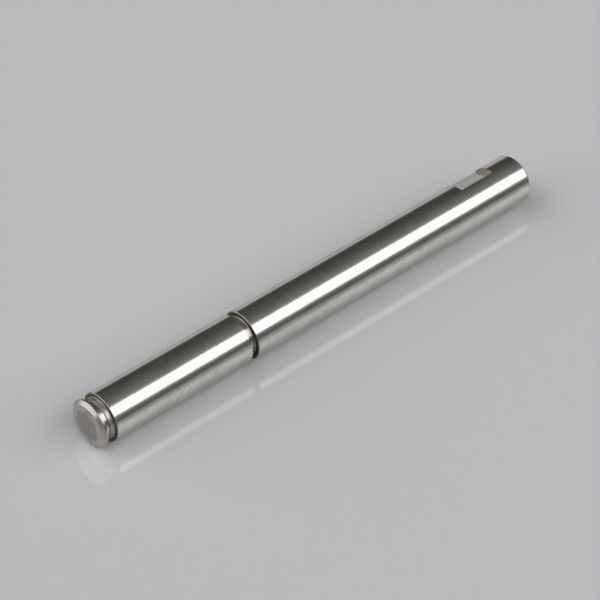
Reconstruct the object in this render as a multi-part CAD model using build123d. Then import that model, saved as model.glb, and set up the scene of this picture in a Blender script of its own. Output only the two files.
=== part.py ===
from build123d import *
import os

# Stepped shaft for a small motor: one solid piece of steel, turned and then
# ground to a single diameter. Two retaining-ring grooves step it down, one
# right behind the blunt head and one between the journal and the long shank,
# and a short flat near the tail takes the tip of a set screw.
#
# The shaft lies on its side along X with the head towards -X and the tail
# towards +X. Its lowest line rests on z = 0, and the origin is under its
# middle. All sizes are in millimetres.

# Ground diameter and overall length
shaft_diameter = 5.0
overall_length = 54.0

# Head: a flat face, a blunt cone and a rounded shoulder
head_length = 0.6
head_diameter = 4.9
head_face_diameter = 3.0
head_cone_length = 0.43
head_shoulder_radius = 0.18

# Groove behind the head: a seat for the retaining ring and a shallower relief
ring_seat_width = 0.55
ring_seat_diameter = 3.9
relief_width = 0.45
relief_diameter = 4.2

# Journal and the groove that ends it
journal_length = 16.05
stop_groove_width = 0.7
stop_groove_diameter = 4.0

# Set-screw flat: its place is measured from the tail, and its face leans
# away from straight up, towards +Y
flat_length = 4.2
flat_depth = 0.45
flat_to_tail = 3.35
flat_lean_degrees = 31.0

# Edges
tail_chamfer = 0.3
lip_chamfer = 0.06
groove_root_radius = 0.08

# Radii
shaft_radius = shaft_diameter / 2
head_radius = head_diameter / 2
head_face_radius = head_face_diameter / 2
ring_seat_radius = ring_seat_diameter / 2
relief_radius = relief_diameter / 2
stop_groove_radius = stop_groove_diameter / 2

# Stations along the axis, from the head to the tail
head_face_x = -overall_length / 2
cone_end_x = head_face_x + head_cone_length
ring_seat_start_x = head_face_x + head_length
relief_start_x = ring_seat_start_x + ring_seat_width
journal_start_x = relief_start_x + relief_width
stop_groove_start_x = journal_start_x + journal_length
shank_start_x = stop_groove_start_x + stop_groove_width
tail_x = overall_length / 2
flat_middle_x = tail_x - flat_to_tail - flat_length / 2


def turned_profile():
    """Half section of the turned piece, as a face above the axis."""
    outline = Polyline(
        (head_face_x, 0),
        (head_face_x, head_face_radius),
        (cone_end_x, head_radius),
        (ring_seat_start_x, head_radius),
        (ring_seat_start_x, ring_seat_radius),
        (relief_start_x, ring_seat_radius),
        (relief_start_x, relief_radius),
        (journal_start_x, relief_radius),
        (journal_start_x, shaft_radius - lip_chamfer),
        (journal_start_x + lip_chamfer, shaft_radius),
        (stop_groove_start_x - lip_chamfer, shaft_radius),
        (stop_groove_start_x, shaft_radius - lip_chamfer),
        (stop_groove_start_x, stop_groove_radius),
        (shank_start_x, stop_groove_radius),
        (shank_start_x, shaft_radius - lip_chamfer),
        (shank_start_x + lip_chamfer, shaft_radius),
        (tail_x - tail_chamfer, shaft_radius),
        (tail_x, shaft_radius - tail_chamfer),
        (tail_x, 0),
        close=True,
    )
    return make_face(outline)


def corner(profile, x, radius):
    """The corner of the half section at one station and radius."""
    return profile.vertices().sort_by_distance((x, radius, 0))[0]


def rounded_profile():
    """The half section with its rounded shoulder and groove roots."""
    profile = turned_profile()
    profile = fillet(corner(profile, cone_end_x, head_radius), head_shoulder_radius)
    roots = [
        (ring_seat_start_x, ring_seat_radius),
        (journal_start_x, relief_radius),
        (stop_groove_start_x, stop_groove_radius),
        (shank_start_x, stop_groove_radius),
    ]
    for x, radius in roots:
        profile = fillet(corner(profile, x, radius), groove_root_radius)
    return profile


def set_screw_cutter():
    """Block that mills the flat, with its face at the flat's depth."""
    width = shaft_diameter + 2
    height = shaft_radius
    block = Box(
        flat_length,
        width,
        height,
        align=(Align.CENTER, Align.CENTER, Align.MIN),
    )
    raised = Pos(flat_middle_x, 0, shaft_radius - flat_depth) * block
    return Rot(X=-flat_lean_degrees) * raised


def make_shaft():
    """The whole shaft, lying on z = 0."""
    turned = revolve(rounded_profile(), Axis.X, 360)
    milled = turned - set_screw_cutter()
    return Pos(0, 0, shaft_radius) * milled


shaft = make_shaft()
shaft.label = "shaft"

os.makedirs("parts", exist_ok=True)
export_step(shaft, "parts/shaft.step")
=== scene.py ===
import math

import bmesh
import bpy
from mathutils import Matrix, Vector


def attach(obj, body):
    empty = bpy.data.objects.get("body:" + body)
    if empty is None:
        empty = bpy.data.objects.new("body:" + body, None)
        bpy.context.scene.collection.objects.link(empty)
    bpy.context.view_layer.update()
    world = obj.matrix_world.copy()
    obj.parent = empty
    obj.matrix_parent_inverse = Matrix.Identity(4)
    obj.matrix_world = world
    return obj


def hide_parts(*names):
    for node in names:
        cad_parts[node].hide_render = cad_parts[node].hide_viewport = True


MM = 0.001

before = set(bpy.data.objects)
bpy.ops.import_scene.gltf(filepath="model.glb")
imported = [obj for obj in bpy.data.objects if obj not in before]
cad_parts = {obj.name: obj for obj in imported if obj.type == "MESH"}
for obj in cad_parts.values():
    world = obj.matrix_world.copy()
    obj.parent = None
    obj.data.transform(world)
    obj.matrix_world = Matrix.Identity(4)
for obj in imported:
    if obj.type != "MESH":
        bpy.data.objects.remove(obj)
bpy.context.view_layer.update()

# ---------------------------------------------------------------- sizes, mm
# The same named sizes as the part's source.
shaft_diameter = 5.0
overall_length = 54.0
head_length = 0.6
head_diameter = 4.9
head_face_diameter = 3.0
ring_seat_width = 0.55
ring_seat_diameter = 3.9
relief_width = 0.45
relief_diameter = 4.2
journal_length = 16.05
stop_groove_width = 0.7
stop_groove_diameter = 4.0
flat_length = 4.2
flat_depth = 0.45
flat_to_tail = 3.35
flat_lean_degrees = 31.0
tail_chamfer = 0.3
lip_chamfer = 0.06
groove_root_radius = 0.08

# The head's shoulder, fuller than the solid's: a faint band round the face,
# then a slope up to the head's diameter.
shoulder_start_depth = 0.05
shoulder_start_radius = 2.1
shoulder_start_round = 0.15
shoulder_end_depth = 0.36
shoulder_end_round = 0.14
face_edge_round = 0.05

# Small edge roundings that only the look needs
edge_break = 0.025
lip_edge_round = 0.01
land_edge_round = 0.02
tail_edge_round = 0.04

# Fineness of the mesh
ring_count = 288
flat_points = 56
corner_steps = 6
sharp_degrees = 24

shaft_radius = shaft_diameter / 2
head_radius = head_diameter / 2
head_face_radius = head_face_diameter / 2
ring_seat_radius = ring_seat_diameter / 2
relief_radius = relief_diameter / 2
stop_groove_radius = stop_groove_diameter / 2

head_face_x = -overall_length / 2
ring_seat_start_x = head_face_x + head_length
relief_start_x = ring_seat_start_x + ring_seat_width
journal_start_x = relief_start_x + relief_width
stop_groove_start_x = journal_start_x + journal_length
shank_start_x = stop_groove_start_x + stop_groove_width
tail_x = overall_length / 2
flat_end_x = tail_x - flat_to_tail
flat_start_x = flat_end_x - flat_length
flat_height = shaft_radius - flat_depth
flat_lean = math.radians(flat_lean_degrees)

# ------------------------------------------------------------------- camera
# The camera looks down on the shaft from the head's side. Its distance and
# aim are in millimetres.
camera_azimuth = math.radians(-41.1175)
camera_elevation = math.radians(41.7024)
camera_distance = 265.91
camera_aim = Vector((-1.261, 0.172, 2.5))
camera_lens = 168.0

# -------------------------------------------------------------------- lights
# Lengths are in metres, and radiance is against a white of 1. The front
# softbox is two strips that face the shaft squarely and sit towards its tail.
# Their edges are angles across the shaft.
key_low_degrees = -26.0
key_joint_degrees = -10.0
key_high_degrees = 14.8
key_low_radiance = 1.75
key_high_radiance = 2.0
key_width = 1.75
key_reach = 1.05
key_offset = Vector((0.564, -0.645, 0.764))
key_facing = Vector((0, -0.645, 0.764))
key_upward = Vector((0, 0.764, 0.645))

# The softbox over the back left is a square.
back_offset = Vector((-0.62, 0.45, 0.64))
back_reach = 1.2
back_size = 1.9
back_radiance = 1.25

# The room is dark, with a glow round the front softbox, a pale low sweep
# behind and a fill from the left. The limits are parts of a unit direction.
room_colour = (1.0, 0.985, 0.96)
room_radiance = 0.055
glow_radiance = 0.23
glow_power = 3.0
glow_starts_z = -0.1
glow_full_z = 0.35
sweep_radiance = 0.55
sweep_starts_y = 0.3
sweep_full_y = 0.5
sweep_top_z = 0.16
sweep_blur_z = 0.015
fill_radiance = 0.30
fill_starts_x = -0.35
fill_full_x = -0.85
background_colour = (0.47, 0.47, 0.48)

# --------------------------------------------------------------------- floor
# The sheet is painted a little paler towards its far side: painted light, standing in for the
# light that falls there.
floor_half_width = 2.5
floor_near = (0.640, 0.644, 0.662)
floor_far_painted_light = (0.680, 0.683, 0.704)
floor_far_painted_light_direction = Vector((0.658, 0.753, 0.0))
floor_blend = 0.045
floor_roughness = 0.07
floor_ior = 1.68

# ------------------------------------------------------------- metal colours
GROUND = (0.69, 0.675, 0.63)
GROUND_DARK = (0.55, 0.535, 0.49)
SEAT = (0.56, 0.54, 0.49)
SEAT_DARK = (0.40, 0.375, 0.33)
RELIEF = (0.52, 0.50, 0.46)
RELIEF_DARK = (0.34, 0.315, 0.275)
LIP = (0.36, 0.34, 0.30)
LIP_DARK = (0.22, 0.20, 0.17)
# The walls that face into the grooves are painted shade: their steel is made far darker for the
# shade that falls in the grooves.
PAINTED_SHADE_WALL = (0.16, 0.145, 0.12)
PAINTED_SHADE_WALL_DARK = (0.09, 0.08, 0.065)
END = (0.36, 0.34, 0.325)
END_DARK = (0.31, 0.29, 0.275)
# The low wall at each end of the flat is painted dark: painted shade for the shade on that
# wall.
PAINTED_SHADE_STEP = (0.25, 0.232, 0.215)
PAINTED_SHADE_STEP_DARK = (0.20, 0.183, 0.168)
BAND = (0.47, 0.445, 0.43)
MILLED = (0.76, 0.73, 0.68)
MILLED_DARK = (0.62, 0.59, 0.54)
WHITE = (1.0, 1.0, 1.0)
PATCH_DARK = (0.90, 0.89, 0.87)

# Machining lines: how the noise is stretched along X, Y and Z, and its scale
TURNED_LINES = ((9.0, 0.7, 0.7), 1500)
RIM_LINES = ((9.0, 0.7, 0.7), 1200)
FACE_LINES = ((0.5, 1.0, 1.0), 1500)
MILLED_LINES = ((1.0, 0.15, 0.15), 3000)
PATCHES = ((0.4, 1.0, 1.0), 900)
line_detail = 3.0
patch_detail = 2.0

# The part of a noise's range over which a colour blends
line_blend = (0.28, 0.52)
patch_blend = (0.35, 0.6)

# The surfaces of the shaft, in the order of their material slots
REGIONS = [
    "ground",
    "end",
    "band",
    "rim",
    "wall",
    "seat",
    "relief",
    "lip",
    "chamfer",
    "flat",
    "step",
]


# -------------------------------------------------------------------- camera
def back_direction(azimuth, elevation):
    """Unit vector from the shaft to a camera at that azimuth and elevation."""
    level = math.cos(elevation)
    return Vector((math.sin(azimuth) * level, -math.cos(azimuth) * level, math.sin(elevation)))


def make_camera():
    data = bpy.data.cameras.new("camera")
    data.sensor_width = 36.0
    data.lens = camera_lens
    data.clip_start = 0.01
    data.clip_end = 20.0
    camera = bpy.data.objects.new("camera", data)
    bpy.context.scene.collection.objects.link(camera)
    back = back_direction(camera_azimuth, camera_elevation)
    camera.location = (camera_aim + back * camera_distance) * MM
    camera.rotation_mode = "QUATERNION"
    camera.rotation_quaternion = (-back).to_track_quat("-Z", "Y")
    bpy.context.scene.camera = camera


# -------------------------------------------------------------- shaft's shape
def corner_arc(before, here, after, radius):
    """Points along the rounding of a corner, each with its share of the way."""
    back = (before - here).normalized()
    onward = (after - here).normalized()
    turn = back.angle(onward)
    reach = radius / math.tan(turn / 2)
    centre = here + (back + onward).normalized() * (radius / math.sin(turn / 2))
    start = here + back * reach - centre
    end = here + onward * reach - centre
    sweep = start.angle(end)
    arc = []
    for step in range(corner_steps + 1):
        share = step / corner_steps
        from_start = math.sin((1 - share) * sweep) / math.sin(sweep)
        from_end = math.sin(share * sweep) / math.sin(sweep)
        arc.append((centre + start * from_start + end * from_end, share))
    return arc


def rounded(points):
    """A half section's points, each (x, radius, corner radius, region), with
    the corners rounded. The region names the surface that follows a point."""
    section = []
    last = len(points) - 1
    for i, (x, radius, corner, region) in enumerate(points):
        if i in (0, last) or corner == 0:
            section.append((x, radius, region))
            continue
        before = Vector(points[i - 1][:2])
        after = Vector(points[i + 1][:2])
        for point, share in corner_arc(before, Vector((x, radius)), after, corner):
            name = points[i - 1][3] if share < 0.5 else region
            section.append((point.x, point.y, name))
    return section


def half_section():
    """The turned outline from the middle of the head to the middle of the tail."""
    shoulder_start_x = head_face_x + shoulder_start_depth
    shoulder_end_x = head_face_x + shoulder_end_depth
    root = groove_root_radius
    lip = lip_chamfer
    lip_radius = shaft_radius - lip
    return rounded(
        [
            (head_face_x, 0, 0, "end"),
            (head_face_x, head_face_radius, face_edge_round, "band"),
            (shoulder_start_x, shoulder_start_radius, shoulder_start_round, "rim"),
            (shoulder_end_x, head_radius, shoulder_end_round, "rim"),
            (ring_seat_start_x, head_radius, edge_break, "wall"),
            (ring_seat_start_x, ring_seat_radius, root, "seat"),
            (relief_start_x, ring_seat_radius, edge_break, "relief"),
            (relief_start_x, relief_radius, edge_break, "relief"),
            (journal_start_x, relief_radius, root, "wall"),
            (journal_start_x, lip_radius, lip_edge_round, "lip"),
            (journal_start_x + lip, shaft_radius, land_edge_round, "ground"),
            (stop_groove_start_x - lip, shaft_radius, land_edge_round, "lip"),
            (stop_groove_start_x, lip_radius, lip_edge_round, "wall"),
            (stop_groove_start_x, stop_groove_radius, root, "seat"),
            (shank_start_x, stop_groove_radius, root, "wall"),
            (shank_start_x, lip_radius, lip_edge_round, "lip"),
            (shank_start_x + lip, shaft_radius, land_edge_round, "ground"),
            (flat_start_x, shaft_radius, 0, "ground"),
            (flat_end_x, shaft_radius, 0, "ground"),
            (tail_x - tail_chamfer, shaft_radius, tail_edge_round, "chamfer"),
            (tail_x, shaft_radius - tail_chamfer, tail_edge_round, "end"),
            (tail_x, 0, 0, "end"),
        ]
    )


def ring_angles():
    """Angles round the axis, measured from the flat's normal. The first ones
    span the flat, with a vertex exactly on each of its long edges."""
    half = math.acos(flat_height / shaft_radius)
    rest_points = ring_count - flat_points
    rest = 2 * math.pi - 2 * half
    angles = [-half + 2 * half * k / flat_points for k in range(flat_points)]
    angles += [half + rest * k / rest_points for k in range(rest_points)]
    return angles


def rings_of_section():
    """The rings of the mesh, each (x, radius, region, milled). Each end of the
    flat has two rings, for the step down to its face. A milled ring is cut at
    the flat's height."""
    rings = []
    for x, radius, region in half_section():
        if math.isclose(x, flat_start_x):
            rings.append((x, radius, "step", False))
            rings.append((x, radius, "flat", True))
        elif math.isclose(x, flat_end_x):
            rings.append((x, radius, "step", True))
            rings.append((x, radius, region, False))
        else:
            rings.append((x, radius, region, False))
    return rings


def ring_point(x, radius, angle, milled):
    """A point of the shaft, in metres."""
    outward = radius * math.cos(angle)
    across = radius * math.sin(angle)
    if milled:
        outward = min(outward, flat_height)
    y = outward * math.sin(flat_lean) + across * math.cos(flat_lean)
    z = outward * math.cos(flat_lean) - across * math.sin(flat_lean)
    return Vector((x, y, z + shaft_radius)) * MM


def ring_vertices(mesh, ring, angles):
    """The vertices of one ring, or the one vertex of a ring on the axis."""
    x, radius, region, milled = ring
    if radius == 0:
        return [mesh.verts.new((x * MM, 0, shaft_radius * MM))]
    return [mesh.verts.new(ring_point(x, radius, angle, milled)) for angle in angles]


def join_rings(mesh, first, second, region):
    """Faces between two neighbouring rings."""
    for k in range(ring_count):
        following = (k + 1) % ring_count
        name = region
        if k >= flat_points and region == "step":
            continue
        if k >= flat_points and region == "flat":
            name = "ground"
        if len(first) == 1:
            corners = [first[0], second[following], second[k]]
        elif len(second) == 1:
            corners = [first[k], first[following], second[0]]
        else:
            corners = [first[k], first[following], second[following], second[k]]
        face = mesh.faces.new(corners)
        face.material_index = REGIONS.index(name)
        face.smooth = True


def make_shaft():
    """The turned and milled shaft as one closed mesh with smooth lands."""
    mesh = bmesh.new()
    angles = ring_angles()
    rings = rings_of_section()
    made = [ring_vertices(mesh, ring, angles) for ring in rings]
    for ring, first, second in zip(rings, made, made[1:]):
        join_rings(mesh, first, second, ring[2])
    bmesh.ops.remove_doubles(mesh, verts=mesh.verts, dist=1e-8)
    bmesh.ops.recalc_face_normals(mesh, faces=mesh.faces)
    data = bpy.data.meshes.new("ground_shaft")
    mesh.to_mesh(data)
    mesh.free()
    data.set_sharp_from_angle(angle=math.radians(sharp_degrees))
    piece = bpy.data.objects.new("ground_shaft", data)
    bpy.context.scene.collection.objects.link(piece)
    return piece


# --------------------------------------------------------------- shader nodes
def new_material(name):
    material = bpy.data.materials.new(name)
    material.use_nodes = True
    tree = material.node_tree
    return material, tree, tree.nodes["Principled BSDF"]


def coordinates(tree, kind):
    return tree.nodes.new("ShaderNodeTexCoord").outputs[kind]


def stretched_noise(tree, lines, detail):
    """Noise in the shaft's own coordinates, stretched by one factor an axis."""
    stretch, scale = lines
    mapping = tree.nodes.new("ShaderNodeMapping")
    mapping.inputs["Scale"].default_value = stretch
    noise = tree.nodes.new("ShaderNodeTexNoise")
    noise.inputs["Scale"].default_value = scale
    noise.inputs["Detail"].default_value = detail
    tree.links.new(coordinates(tree, "Object"), mapping.inputs["Vector"])
    tree.links.new(mapping.outputs["Vector"], noise.inputs["Vector"])
    return noise.outputs["Fac"]


def ramp(tree, value, low, high, span):
    """Blends two colours over a span of a value."""
    node = tree.nodes.new("ShaderNodeValToRGB")
    for element, place, colour in zip(node.color_ramp.elements, span, (low, high)):
        element.position = place
        element.color = (*colour, 1)
    tree.links.new(value, node.inputs["Fac"])
    return node.outputs["Color"]


def multiplied(tree, first, second):
    """The product of two colours."""
    node = tree.nodes.new("ShaderNodeMix")
    node.data_type = "RGBA"
    node.blend_type = "MULTIPLY"
    factor, colour_a, colour_b, result = 0, 6, 7, 2
    node.inputs[factor].default_value = 1.0
    tree.links.new(first, node.inputs[colour_a])
    tree.links.new(second, node.inputs[colour_b])
    return node.outputs[result]


def spread(tree, value, low, high):
    """Maps 0.3 to 0.7 of a noise to the range low to high."""
    node = tree.nodes.new("ShaderNodeMapRange")
    node.inputs["From Min"].default_value = 0.3
    node.inputs["From Max"].default_value = 0.7
    node.inputs["To Min"].default_value = low
    node.inputs["To Max"].default_value = high
    tree.links.new(value, node.inputs["Value"])
    return node.outputs["Result"]


def fade(tree, value, start, end):
    """0 to 1 as the value goes from start to end."""
    node = tree.nodes.new("ShaderNodeMapRange")
    node.inputs["From Min"].default_value = start
    node.inputs["From Max"].default_value = end
    tree.links.new(value, node.inputs["Value"])
    return node.outputs["Result"]


def along(tree, place, direction):
    """How far a place lies along a direction."""
    node = tree.nodes.new("ShaderNodeVectorMath")
    node.operation = "DOT_PRODUCT"
    node.inputs[1].default_value = direction
    tree.links.new(place, node.inputs[0])
    return node.outputs["Value"]


def maths(tree, operation, *terms):
    """One operation on values, each a link or a plain number."""
    node = tree.nodes.new("ShaderNodeMath")
    node.operation = operation
    for term, socket in zip(terms, node.inputs):
        if isinstance(term, float):
            socket.default_value = term
        else:
            tree.links.new(term, socket)
    return node.outputs["Value"]


def bump(tree, shader, value, depth):
    node = tree.nodes.new("ShaderNodeBump")
    node.inputs["Distance"].default_value = depth * MM
    node.inputs["Strength"].default_value = 1.0
    tree.links.new(value, node.inputs["Height"])
    tree.links.new(node.outputs["Normal"], shader.inputs["Normal"])


def round_tangent(tree, shader, amount):
    """Stretches the highlight as lines that run round the axis do."""
    tangent = tree.nodes.new("ShaderNodeTangent")
    tangent.direction_type = "RADIAL"
    tangent.axis = "X"
    shader.inputs["Anisotropic"].default_value = amount
    shader.inputs["Anisotropic Rotation"].default_value = 0.25
    tree.links.new(tangent.outputs["Tangent"], shader.inputs["Tangent"])


# ----------------------------------------------------------------- materials
def metal(name, light, dark, roughness, lines, depth, stretched_shine=0.0):
    """Bare steel with fine machining lines, depth millimetres deep, and faint
    darker patches."""
    material, tree, shader = new_material(name)
    grain = stretched_noise(tree, lines, line_detail)
    patches = stretched_noise(tree, PATCHES, patch_detail)
    colour = ramp(tree, grain, dark, light, line_blend)
    cloud = ramp(tree, patches, PATCH_DARK, WHITE, patch_blend)
    smoothest, roughest = roughness
    shader.inputs["Metallic"].default_value = 1.0
    tree.links.new(multiplied(tree, colour, cloud), shader.inputs["Base Color"])
    tree.links.new(spread(tree, grain, roughest, smoothest), shader.inputs["Roughness"])
    bump(tree, shader, grain, depth)
    if stretched_shine:
        round_tangent(tree, shader, stretched_shine)
    return material


def shaft_materials():
    """The steel of each region."""
    ground = metal("ground_steel", GROUND, GROUND_DARK, (0.18, 0.25), TURNED_LINES, 0.0004, 0.5)
    relief = metal("relief_steel", RELIEF, RELIEF_DARK, (0.36, 0.48), TURNED_LINES, 0.001, 0.4)
    lip = metal("lip_steel", LIP, LIP_DARK, (0.38, 0.50), TURNED_LINES, 0.0006, 0.3)
    # Painted shade: the step at the flat's ends is darkened for the shade on it.
    step = metal("step_steel_painted_shade", PAINTED_SHADE_STEP, PAINTED_SHADE_STEP_DARK, (0.30, 0.40), MILLED_LINES, 0.0006)
    seat = metal("seat_steel", SEAT, SEAT_DARK, (0.22, 0.30), TURNED_LINES, 0.0006, 0.4)
    end = metal("end_steel", END, END_DARK, (0.42, 0.52), FACE_LINES, 0.001)
    band = metal("band_steel", BAND, END, (0.36, 0.44), FACE_LINES, 0.001)
    rim = metal("rim_steel", BAND, END, (0.26, 0.34), RIM_LINES, 0.0006, 0.3)
    milled = metal("milled_steel", MILLED, MILLED_DARK, (0.10, 0.17), MILLED_LINES, 0.0003)
    # Painted shade: the walls into the grooves are darkened for the shade in them.
    wall = metal("wall_steel_painted_shade", PAINTED_SHADE_WALL, PAINTED_SHADE_WALL_DARK, (0.40, 0.55), FACE_LINES, 0.001)
    return {
        "ground": ground,
        "end": end,
        "band": band,
        "rim": rim,
        "wall": wall,
        "seat": seat,
        "relief": relief,
        "lip": lip,
        "chamfer": rim,
        "flat": milled,
        "step": step,
    }


def floor_material():
    material, tree, shader = new_material("floor")
    # Painted light: the floor's colour grows paler towards its far side, away from the camera.
    distance = along(tree, coordinates(tree, "Object"), floor_far_painted_light_direction)
    share = fade(tree, distance, -floor_blend, floor_blend)
    colour = ramp(tree, share, floor_near, floor_far_painted_light, (0.0, 1.0))
    tree.links.new(colour, shader.inputs["Base Color"])
    shader.inputs["Roughness"].default_value = floor_roughness
    shader.inputs["IOR"].default_value = floor_ior
    return material


# --------------------------------------------------------------------- stage
def make_floor():
    """A pale, glossy sheet under the shaft."""
    half = floor_half_width
    corners = [(-half, -half, 0), (half, -half, 0), (half, half, 0), (-half, half, 0)]
    data = bpy.data.meshes.new("floor")
    data.from_pydata(corners, [], [(0, 1, 2, 3)])
    data.materials.append(floor_material())
    floor = bpy.data.objects.new("floor", data)
    bpy.context.scene.collection.objects.link(floor)


def make_softbox(name, centre, towards, up, width, height, radiance):
    """A rectangular soft light that faces along towards, its height along up."""
    data = bpy.data.lights.new(name, "AREA")
    data.shape = "RECTANGLE"
    data.size = width
    data.size_y = height
    data.energy = radiance * math.pi * width * height
    light = bpy.data.objects.new(name, data)
    bpy.context.scene.collection.objects.link(light)
    z = -towards.normalized()
    y = (up - z * up.dot(z)).normalized()
    x = y.cross(z)
    rows = [[x[i], y[i], z[i]] for i in range(3)]
    light.rotation_mode = "QUATERNION"
    light.rotation_quaternion = Matrix(rows).to_quaternion()
    light.location = centre


def make_lights():
    """The front softbox, in two strips, and the softbox over the back left."""
    low_edge = key_reach * math.tan(math.radians(key_low_degrees))
    joint = key_reach * math.tan(math.radians(key_joint_degrees))
    high_edge = key_reach * math.tan(math.radians(key_high_degrees))
    strips = (
        ("key_low", low_edge, joint, key_low_radiance),
        ("key_high", joint, high_edge, key_high_radiance),
    )
    for name, low, high, radiance in strips:
        centre = key_offset * key_reach + key_upward * (low + high) / 2
        make_softbox(name, centre, -key_facing, key_upward, key_width, high - low, radiance)
    back = back_offset.normalized()
    up = Vector((0, 0, 1))
    make_softbox("back_left", back * back_reach, -back, up, back_size, back_size, back_radiance)


def room_level(tree):
    """How bright the room is in each direction."""
    place = coordinates(tree, "Generated")
    parts = tree.nodes.new("ShaderNodeSeparateXYZ")
    tree.links.new(place, parts.inputs["Vector"])
    x, y, z = parts.outputs["X"], parts.outputs["Y"], parts.outputs["Z"]
    towards_key = maths(tree, "MAXIMUM", along(tree, place, key_offset.normalized()), 0.0)
    glow = maths(tree, "POWER", towards_key, glow_power)
    glow = maths(tree, "MULTIPLY", glow, fade(tree, z, glow_starts_z, glow_full_z))
    level = maths(tree, "MULTIPLY_ADD", glow, glow_radiance, room_radiance)
    behind = fade(tree, y, sweep_starts_y, sweep_full_y)
    below = fade(tree, z, sweep_top_z + sweep_blur_z, sweep_top_z - sweep_blur_z)
    sweep = maths(tree, "MULTIPLY", behind, below)
    level = maths(tree, "MULTIPLY_ADD", sweep, sweep_radiance, level)
    fill = fade(tree, x, fill_starts_x, fill_full_x)
    return maths(tree, "MULTIPLY_ADD", fill, fill_radiance, level)


def make_world():
    """The room for light and reflections, and a plain grey where the camera
    sees past the floor."""
    world = bpy.data.worlds.new("studio")
    bpy.context.scene.world = world
    world.use_nodes = True
    tree = world.node_tree
    tree.nodes.clear()
    room = tree.nodes.new("ShaderNodeBackground")
    room.inputs["Color"].default_value = (*room_colour, 1)
    tree.links.new(room_level(tree), room.inputs["Strength"])
    seen = tree.nodes.new("ShaderNodeBackground")
    seen.inputs["Color"].default_value = (*background_colour, 1)
    path = tree.nodes.new("ShaderNodeLightPath")
    mix = tree.nodes.new("ShaderNodeMixShader")
    out = tree.nodes.new("ShaderNodeOutputWorld")
    tree.links.new(path.outputs["Is Camera Ray"], mix.inputs["Fac"])
    tree.links.new(room.outputs["Background"], mix.inputs[1])
    tree.links.new(seen.outputs["Background"], mix.inputs[2])
    tree.links.new(mix.outputs["Shader"], out.inputs["Surface"])


bpy.context.scene.view_settings.view_transform = "Standard"
make_camera()
shaft = make_shaft()
looks = shaft_materials()
for region in REGIONS:
    shaft.data.materials.append(looks[region])
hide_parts("shaft")
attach(shaft, "root")
make_floor()
make_lights()
make_world()
